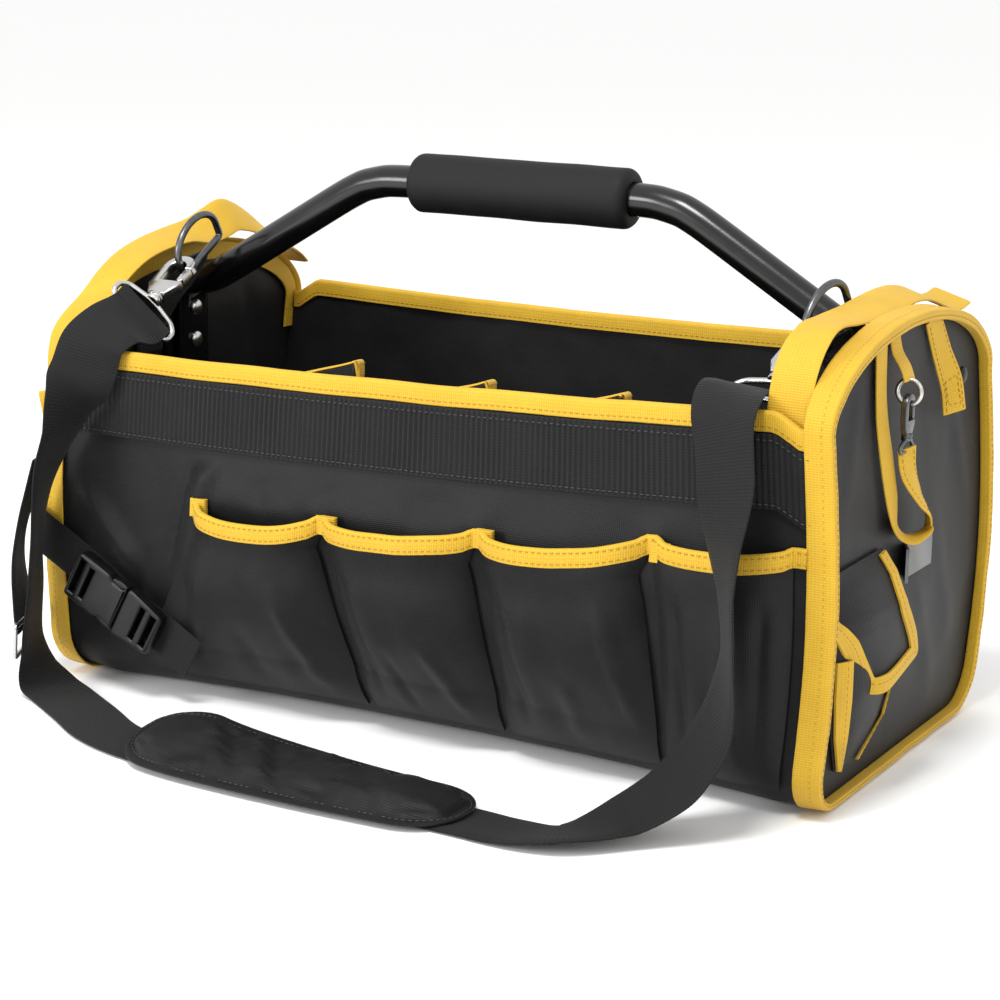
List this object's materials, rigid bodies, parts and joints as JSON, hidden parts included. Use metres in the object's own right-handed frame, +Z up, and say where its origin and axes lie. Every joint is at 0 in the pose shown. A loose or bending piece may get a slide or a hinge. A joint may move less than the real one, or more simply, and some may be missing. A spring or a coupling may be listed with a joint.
{
  "type": "canvas tool bag",
  "caption": "Open-top black canvas tool bag with yellow taped edges, a steel tube handle with a foam grip, pleated pockets and a padded shoulder strap.",
  "frame": {"origin": "middle of the bag's flat bottom, on the floor", "axes": "+X along the bag to the end with the flap pocket, -Y out of the front with the pleated pockets, +Z up"},
  "size_m": [0.5236, 0.3651, 0.3142],
  "materials": {
    "canvas_black": "matte coated polyester canvas",
    "webbing_black": "ribbed woven webbing",
    "tape_yellow": "woven yellow tape",
    "painted_steel": "black satin powder coat",
    "foam_black": "matte closed-cell foam",
    "gunmetal": "dark plated steel",
    "nickel": "bright nickel plate",
    "plastic_black": "moulded plastic"
  },
  "bodies": {
    "bag": {"arch_band_left": "tape_yellow", "arch_band_right": "tape_yellow", "arch_button": "tape_yellow", "back_rim_binding": "tape_yellow", "body_wrap": "canvas_black", "buckle_plug": "plastic_black", "buckle_socket": "plastic_black", "d_ring_left": "gunmetal", "d_ring_right": "gunmetal", "d_ring_tab_left": "webbing_black", "d_ring_tab_right": "webbing_black", "end_binding_left": "tape_yellow", "end_binding_right": "tape_yellow", "end_flap_binding": "tape_yellow", "end_panel_left": "canvas_black", "end_panel_right": "canvas_black", "end_pocket": "canvas_black", "end_pocket_binding_back": "tape_yellow", "end_pocket_binding_front": "tape_yellow", "end_pocket_flap": "canvas_black", "end_tab": "tape_yellow", "end_tab_stud": "plastic_black", "front_pocket_1": "canvas_black", "front_pocket_2": "canvas_black", "front_pocket_3": "canvas_black", "front_pocket_4": "canvas_black", "front_pocket_binding": "tape_yellow", "front_rim_binding": "tape_yellow", "front_webbing_band": "webbing_black", "handle_bracket_left": "painted_steel", "handle_bracket_right": "painted_steel", "handle_grip": "foam_black", "handle_rivet_left_1": "nickel", "handle_rivet_left_2": "nickel", "handle_rivet_right_1": "nickel", "handle_rivet_right_2": "nickel", "handle_tube": "painted_steel", "hook_left": "nickel", "hook_left_loop": "nickel", "hook_right": "nickel", "hook_right_loop": "nickel", "inner_pocket_1": "canvas_black", "inner_pocket_2": "canvas_black", "inner_pocket_3": "canvas_black", "inner_pocket_binding": "tape_yellow", "shoulder_pad": "canvas_black", "shoulder_strap": "webbing_black", "side_strap": "webbing_black", "side_tab_left": "tape_yellow", "strap_return": "webbing_black", "strap_slider": "nickel", "tape_clip": "gunmetal", "tape_hook": "gunmetal", "tape_ring": "nickel", "tape_strap": "tape_yellow", "tape_tab": "tape_yellow"},
    "hook_left_gate": {"hook_left_gate": "nickel"},
    "tape_hook_gate": {"tape_hook_gate": "gunmetal"}
  },
  "joints": [
    {"name": "hook_left_gate_hinge", "type": "hinge", "parent": "bag", "child": "hook_left_gate", "pos_m": [-0.194, -0.05969, 0.23463], "axis": [0, -0.5, 0.866], "range_deg": [0, 25], "stiffness_Nm_per_rad": 0.01, "springref_deg": -20.05},
    {"name": "tape_hook_gate_hinge", "type": "hinge", "parent": "bag", "child": "tape_hook_gate", "pos_m": [0.249, -0.0212, 0.1978], "axis": [1, 0, 0], "range_deg": [0, 25], "stiffness_Nm_per_rad": 0.01, "springref_deg": -20.05}
  ]
}
